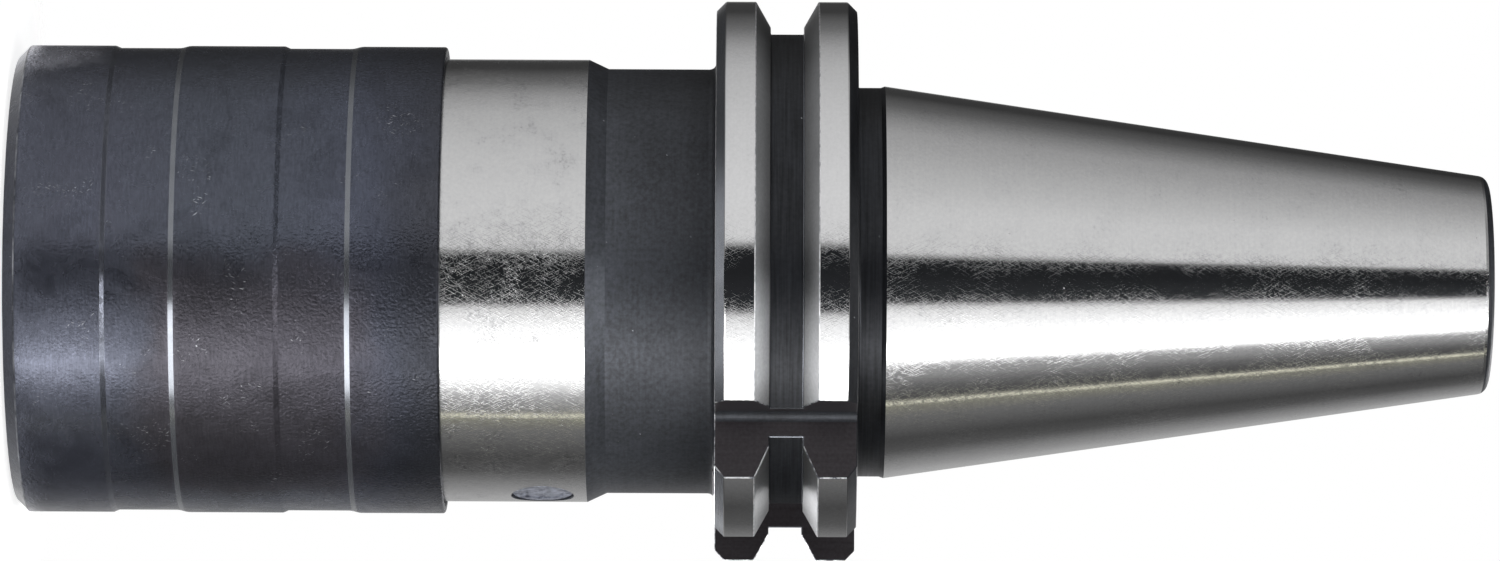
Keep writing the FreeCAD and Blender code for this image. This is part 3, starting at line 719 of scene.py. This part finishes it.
# %% [markdown]
# The milled places come next. Each cutter is a box or a rod that stands where the end mill
# or drill went, and a Boolean modifier takes it out of the shank: two drive slots at +X
# and -X that differ in depth, the orientation notch with its rounded root, two filler
# holes and the two straight ball tracks in the bore.

# %% Cut the slots, the notch, the filler holes and the ball tracks
def block(name, low, high):
    """A box between two corners in millimetres."""
    bpy.ops.object.select_all(action="DESELECT")
    bpy.ops.mesh.primitive_cube_add(size=1, location=(0, 0, 0))
    piece = bpy.context.object
    piece.name = name
    bpy.ops.object.mode_set(mode="EDIT")
    bpy.ops.transform.resize(value=[(b - a) * mm for a, b in zip(low, high)])
    bpy.ops.transform.translate(value=[(a + b) / 2 * mm for a, b in zip(low, high)])
    bpy.ops.object.mode_set(mode="OBJECT")
    return piece


def rod(name, radius, start, end):
    """A round rod between two points in millimetres."""
    start, end = start * mm, end * mm
    bpy.ops.object.select_all(action="DESELECT")
    bpy.ops.mesh.primitive_cylinder_add(
        vertices=64, radius=radius * mm, depth=(end - start).length,
        location=(start + end) / 2, rotation=(end - start).to_track_quat("Z", "Y").to_euler())
    piece = bpy.context.object
    piece.name = name
    bpy.ops.object.transform_apply(location=True, rotation=True, scale=True)
    return piece


def apply_modifiers(piece):
    """Applies all modifiers of a piece in their order."""
    select_alone(piece)
    for modifier in list(piece.modifiers):
        bpy.ops.object.modifier_apply(modifier=modifier.name)


def cut(piece, cutters):
    """Takes the cutters out of a piece."""
    for cutter in cutters:
        modifier = piece.modifiers.new(cutter.name, "BOOLEAN")
        modifier.operation = "DIFFERENCE"
        modifier.solver = "EXACT"
        modifier.object = cutter
        apply_modifiers(piece)
        bpy.data.objects.remove(cutter)
    print(piece.name, "cut:", len(piece.data.polygons), "faces")


plug_low, plug_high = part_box("filler_plug_1")
row_height = (plug_low.z + plug_high.z) / 2 / mm
row_azimuth = math.radians(-3.5)
row_out = Vector((math.cos(row_azimuth), math.sin(row_azimuth), 0))
row_rise = Vector((0, 0, row_height))
cut_low, cut_high = 79.05, 96.0
beyond = 40.0
slot_half = 8.05
plus_floor, minus_floor = 22.8, 25.0
notch_plane = 18.5
notch_root = 1.0
notch = block("notch_cutter", (notch_plane, -beyond, cut_low), (beyond, -notch_plane, cut_high))
start_edit(notch)
bpy.ops.mesh.select_all(action="DESELECT")
bpy.ops.object.mode_set(mode="OBJECT")
root_line = Vector((notch_plane, -notch_plane)) * mm
for edge in notch.data.edges:
    ends = [notch.data.vertices[i].co for i in edge.vertices]
    edge.select = all((end.xy - root_line).length < weld for end in ends)
bpy.ops.object.mode_set(mode="EDIT")
bpy.ops.mesh.select_mode(type="EDGE")
bpy.ops.mesh.bevel(offset=notch_root * mm, segments=8, affect="EDGES")
bpy.ops.object.mode_set(mode="OBJECT")

cutters = [
    block("slot_cutter_plus", (plus_floor, -slot_half, cut_low), (beyond, slot_half, cut_high)),
    block("slot_cutter_minus", (-beyond, -slot_half, cut_low), (-minus_floor, slot_half, cut_high)),
    notch,
]
filler_radius, filler_start, filler_end = 3.55, 17.0, 27.0
track_radius, track_out = 3.215, 18.02
half_track = Vector((0, 0, 19.325))
for out in (row_out, -row_out):
    start, end = out * filler_start + row_rise, out * filler_end + row_rise
    cutters.append(rod("filler_cutter", filler_radius, start, end))
    middle = out * track_out + row_rise
    cutters.append(rod("track_cutter", track_radius, middle - half_track, middle + half_track))
cut(shank, cutters)

# %% [markdown]
# A machinist breaks every edge a little, and that thin broken edge is what catches the
# light. All edges sharper than 30 degrees get a bevel, apart from the few around the drilled
# holes and ball tracks, where the mesh is too fine for it.
#
# The mesh is a 168-sided body, and a mirror-bright surface shows that. The true surface is
# round, and its normal at any point is known: it is the face's own slope, turned to the
# azimuth of the point. Writing these normals into the face corners makes the reflections
# run as smoothly as on the ground part, also around the cut-outs, where the faces are
# long and thin.

# %% Break the edges and true the normals
def radius_and_height(spot):
    """Where a point lies on the profile, in millimetres."""
    return math.hypot(spot.x, spot.y) / mm, spot.z / mm


def is_spared(spot):
    """Whether an edge's middle is at a ball track, a filler hole or the foot of a slot."""
    radius, height = radius_and_height(spot)
    at_track = radius < 20.5 and height < 99
    at_filler = abs(height - row_height) < 4.5
    at_slot_foot = 78.5 < height < 79.15
    return at_track or at_filler or at_slot_foot


def break_edges(piece, width, finish):
    """Bevels the sharp edges of a piece and gives them the finish in one material slot."""
    start_edit(piece)
    bpy.ops.mesh.select_mode(type="EDGE")
    bpy.ops.mesh.select_all(action="DESELECT")
    bpy.ops.mesh.edges_select_sharp(sharpness=math.radians(30))
    bpy.ops.object.mode_set(mode="OBJECT")
    for edge in piece.data.edges:
        ends = [piece.data.vertices[i].co for i in edge.vertices]
        if edge.select and piece is shank and is_spared((ends[0] + ends[1]) / 2):
            edge.select = False
    bpy.ops.object.mode_set(mode="EDIT")
    bpy.ops.mesh.bevel(
        offset=width * mm, segments=2, affect="EDGES", clamp_overlap=False, material=finish)
    bpy.ops.object.mode_set(mode="OBJECT")
    print(piece.name, "edges broken:", len(piece.data.polygons), "faces")


def true_normals(piece):
    """Gives the corners of all turned faces the normal of the round surface."""
    mesh = piece.data
    mesh.polygons.foreach_set("use_smooth", [True] * len(mesh.polygons))
    normals = [None] * len(mesh.loops)
    turned = 0
    for face in mesh.polygons:
        out = Vector((*face.center.xy, 0)).normalized()
        level = Vector((*face.normal.xy, 0))
        sideways = abs(out.x * face.normal.y - out.y * face.normal.x)
        is_turned = sideways < 0.03 and level.length > 0.01
        turned += is_turned
        for i in face.loop_indices:
            spot = mesh.vertices[mesh.loops[i].vertex_index].co
            here = Vector((*spot.xy, 0)).normalized()
            if is_turned:
                slope = level.length if level.dot(out) > 0 else -level.length
                normals[i] = (here * slope + Vector((0, 0, face.normal.z))).normalized()
            else:
                normals[i] = face.normal.copy()
    mesh.normals_split_custom_set(normals)
    print(piece.name, "trued:", turned, "of", len(mesh.polygons), "faces are turned")


edge_width = 0.1
for material in (
        shank_oxide, ground, milled_oxide, edge_oxide, flank_steel, rim_steel, dark_oxide,
        taper_steel, bright_edge, ramp_oxide):
    shank.data.materials.append(material)
(oxide_slot, ground_slot, milled_slot, edge_slot, flank_slot, rim_slot, dark_slot, taper_slot,
 bright_slot, dull_slot) = range(10)
break_edges(shank, edge_width, edge_slot)
true_normals(shank)

# %% [markdown]
# ## Release sleeve
#
# The sleeve is one thin turned part with two shallow grip grooves, whose rear ends ramp
# up so that a finger can push it. Inside are the counterbore for the snap ring, the cone
# for the locking balls, the guide bore and the spring pocket, all in one profile.

# %% Turn the sleeve
sleeve = turn_part("sleeve", [
    (23.0, 0.3), (25.15, 0.3), (26.45, 1.6), (26.45, 11.1, 0.4), (26.19, 11.7, 0.4),
    (26.19, 18.5, 2.6), (26.45, 19.5, 2.6), (26.45, 30.3, 0.4), (26.19, 30.9, 0.4),
    (26.19, 38.0, 2.6), (26.45, 39.0, 2.6),
    (26.45, 48.7, 0.3), (25.6, 48.7), (25.4, 48.5), (25.4, 8.0), (22.1, 8.0),
    (22.1, 14.43), (20.24, 14.43), (20.24, 10.66), (21.656, 5.377), (21.656, 2.73),
    (23.0, 2.73),
])
for material in (sleeve_oxide, ramp_oxide, sleeve_edge, step_oxide):
    sleeve.data.materials.append(material)
ramp_slot, sleeve_edge_slot, step_slot = 1, 2, 3
break_edges(sleeve, edge_width, sleeve_edge_slot)
true_normals(sleeve)

# %% [markdown]
# ## Springs
#
# A compression spring is wire wound on a mandrel, with its last turns closed so that it
# stands square. The Screw modifier winds a small circle into an even helix, one ring of
# points after another, so the number of a point tells how far along the wire it is. The
# rings are then shifted so that the end turns lie close and the middle ones stand apart.

# %% Wind the springs
wire_points = 12
spring_rings = 36


def wind(piece, turns, rise, turn_rings):
    """Winds an outline about Z, with a rise in millimetres, and returns its rings."""
    rings = int(turns * turn_rings)
    screw = piece.modifiers.new("winding", "SCREW")
    screw.axis = "Z"
    screw.angle = 2 * math.pi * turns
    screw.screw_offset = rise * mm
    screw.steps = rings
    screw.render_steps = rings
    screw.use_merge_vertices = False
    apply_modifiers(piece)
    return rings


def close_ends(piece, smooth_angle):
    """Caps the two ends of a wound piece and shades it smooth up to an angle."""
    start_edit(piece)
    bpy.ops.mesh.select_all(action="SELECT")
    bpy.ops.mesh.fill_holes(sides=0)
    bpy.ops.mesh.select_all(action="SELECT")
    bpy.ops.mesh.normals_make_consistent(inside=False)
    bpy.ops.object.mode_set(mode="OBJECT")
    bpy.ops.object.shade_smooth_by_angle(angle=math.radians(smooth_angle))
    print(piece.name, "wound:", len(piece.data.polygons), "faces")


def wind_spring(name, mean, wire, low, high, turns):
    """A round-wire spring about Z between two heights, in millimetres."""
    bpy.ops.object.select_all(action="DESELECT")
    bpy.ops.mesh.primitive_circle_add(
        vertices=wire_points, radius=wire / 2 * mm, location=(0, 0, 0))
    piece = bpy.context.object
    piece.name = name
    bpy.ops.object.mode_set(mode="EDIT")
    bpy.ops.transform.rotate(value=math.radians(90), orient_axis="X", center_override=(0, 0, 0))
    bpy.ops.transform.translate(value=(mean * mm, 0, 0))
    bpy.ops.object.mode_set(mode="OBJECT")
    rings = wind(piece, turns, 0, spring_rings)
    closed = [min(k + 0.5, rings - k - 0.5) / spring_rings < 0.8 for k in range(rings)]
    # A closed turn rises by one wire, and the open rings share what is left.
    closed_rise = wire * 1.03 / spring_rings
    play = 0.03
    left = high - low - wire - 2 * play - closed.count(True) * closed_rise
    open_rise = left / closed.count(False)
    heights = [low + wire / 2 + play]
    for is_closed in closed:
        heights.append(heights[-1] + (closed_rise if is_closed else open_rise))
    for vertex in piece.data.vertices:
        vertex.co.z += heights[vertex.index // wire_points] * mm
    close_ends(piece, 50)
    return piece


extension_spring = wind_spring("extension_coil", 10.5, 2.0, 57.13, 81.0, 4.5)
compression_spring = wind_spring("compression_coil", 11.025, 2.8, 88.13, 120.53, 6)
sleeve_spring = wind_spring("sleeve_coil", 23.75, 1.4, 8.0, 18.63, 3)

# %% [markdown]
# ## Pull-stud thread
#
# The machine draws the taper in by a stud screwed into its small end, an M16 thread with
# 2 mm pitch. Cut threads are grooves, but a ridge wound inside a hole of the thread's
# outer diameter looks the same and is easier: a flat-topped tooth, wound by the Screw
# modifier.

# %% Wind the thread
thread_pitch = 2.0
thread_rings = 48
thread_low, thread_high = 134.9, 158.9
tooth = [(8.03, -0.87), (6.9, -0.25), (6.9, 0.25), (8.03, 0.87)]
thread = draw_outline(
    "pull_stud_thread", [Vector((radius, thread_low + height)) for radius, height in tooth])
bpy.ops.object.mode_set(mode="OBJECT")
rise = thread_high - thread_low
wind(thread, rise / thread_pitch, rise, thread_rings)
close_ends(thread, 25)

# %% [markdown]
# ## Where each finish goes
#
# The shank was blackened all over and then ground where it fits something: the housing
# cylinder, the rims and flanks of the V-groove, and the taper. A ground surface is known
# by its radius and height, so each face of the mesh takes its finish by its place. The
# limits below lie just beside the corners of the profile, in millimetres.

# %% Give the shank its finishes
count = {}
for face in shank.data.polygons:
    radius, height = radius_and_height(face.center)
    normal, centre = face.normal, face.center
    outward = (normal.x * centre.x + normal.y * centre.y) / (radius * mm)
    sideways = abs(normal.x * centre.y - normal.y * centre.x) / (radius * mm)
    squarely = max(abs(normal.x), abs(normal.y)) > 0.99995
    on_housing = radius > 24.95 and 34.3 < height < 64.85
    on_rim = radius > 31.65 and 80.25 < height < 94.05
    on_flank = radius > 28.95 and 83.75 < height < 90.65 and abs(normal.z) > 0.3
    on_taper = 98.25 < height < 166.3 and outward > 0.9
    in_bore = radius < 18.3 and outward < -0.5 and height < 99
    in_groove = radius < 29.0 and 83.5 < height < 90.9 and outward > -0.1
    on_collar = height > 94.05 and radius > 22 and outward > -0.1
    turned = sideways < 0.05
    turned_outside = turned and outward > 0
    on_front_chamfer = radius > 30.9 and 79.3 < height < 80.2
    is_edge = face.material_index == edge_slot
    on_groove_rim = radius > 31.3 and min(abs(height - 83.664), abs(height - 90.736)) < 0.25
    on_gauge_end = radius < 30.9 and height > 98.2
    on_front_face = 79 < height < 79.4
    is_bright_edge = is_edge and turned and (on_groove_rim or on_gauge_end or on_front_face)
    # Painted shade: the broken edges at the foot of the groove's front flank, at 85.3 mm, take the
    # dark oxide as a line of shade. The edges from 93.8 mm up take it too.
    is_dark_edge = is_edge and radius > 26 and (85.1 < height < 85.6 or height > 93.8)
    is_dull_edge = is_edge and 85.6 < height < 89.2 and radius < 29.0
    is_dark = turned and face.material_index == oxide_slot and (in_groove or on_collar)
    if is_bright_edge:
        face.material_index = bright_slot
    elif turned_outside and on_taper:
        face.material_index = taper_slot
    elif turned_outside and on_front_chamfer and not is_edge:
        face.material_index = dull_slot
    elif (turned_outside and on_housing) or in_bore:
        face.material_index = ground_slot
    elif turned_outside and on_rim:
        face.material_index = rim_slot
    elif turned_outside and on_flank:
        face.material_index = flank_slot
    elif is_dull_edge:
        face.material_index = dull_slot
    elif is_dark_edge or is_dark:
        face.material_index = dark_slot
    elif squarely and radius > 18 and height > 79.2:
        face.material_index = milled_slot
    count[face.material_index] = count.get(face.material_index, 0) + 1
print("shank faces by finish:", count)

# %% [markdown]
# On the sleeve, palms have polished the ramps of both grips, and the first step a little.

# %% Give the sleeve its finishes
outside = 26.17
count = {}
for face in sleeve.data.polygons:
    radius, height = radius_and_height(face.center)
    on_ramp = 18.0 < height < 20.0 or 37.5 < height < 39.5
    on_first_step = 10.9 < height < 11.9
    if radius > outside and on_ramp and face.normal.z < -0.2:
        face.material_index = ramp_slot
    elif radius > outside and on_first_step and face.normal.z > 0.2:
        face.material_index = step_slot
    count[face.material_index] = count.get(face.material_index, 0) + 1
print("sleeve faces by finish:", count)

# %% [markdown]
# The other pieces and the CAD nodes that stay take one finish each.

# %% Give every other piece its finish
def dress(thing, material):
    """Puts one material on a piece or CAD node."""
    if not thing.data.materials:
        thing.data.materials.append(material)
    for i in range(len(thing.material_slots)):
        thing.material_slots[i].link = "OBJECT"
        thing.material_slots[i].material = material


dress(thread, shank_oxide)
for spring in (extension_spring, compression_spring, sleeve_spring):
    dress(spring, spring_wire)
for material, names in (
        (spindle_steel, (
            "spindle", "sleeve_spring_washer", "stop_tube", "extension_spring_seat",
            "compression_spring_front_seat", "compression_spring_rear_seat")),
        (ring_steel, ("nose_snap_ring", "mouth_retaining_ring", "sleeve_spring_clip")),
        (ball_steel, (
            "locking_ball_1", "locking_ball_2", "locking_ball_3", "drive_balls_row_1",
            "drive_balls_row_2")),
        (bronze, ("guide_bush",)),
        (rubber, ("wiper_ring",)),
        (plug_oxide, ("filler_plug_1", "filler_plug_2")),
        (screw_oxide, ("float_bolt", "bolt_lock_screw"))):
    for name in names:
        dress(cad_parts[name], material)
    print(material.name, "on", *names)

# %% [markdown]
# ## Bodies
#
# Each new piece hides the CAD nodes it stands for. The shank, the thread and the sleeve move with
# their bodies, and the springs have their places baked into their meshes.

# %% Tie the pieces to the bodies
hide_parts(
    "taper_shank", "flange_rear_rim", "flange_channel", "flange_front_rim", "housing")
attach(shank, "shank")
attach(thread, "shank")
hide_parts("release_sleeve")
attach(sleeve, "release_sleeve")
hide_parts("extension_spring")
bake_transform(extension_spring)
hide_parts("compression_spring")
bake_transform(compression_spring)
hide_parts("sleeve_spring")
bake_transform(sleeve_spring)
print("new pieces:", shank.name, thread.name, sleeve.name, "and three springs")
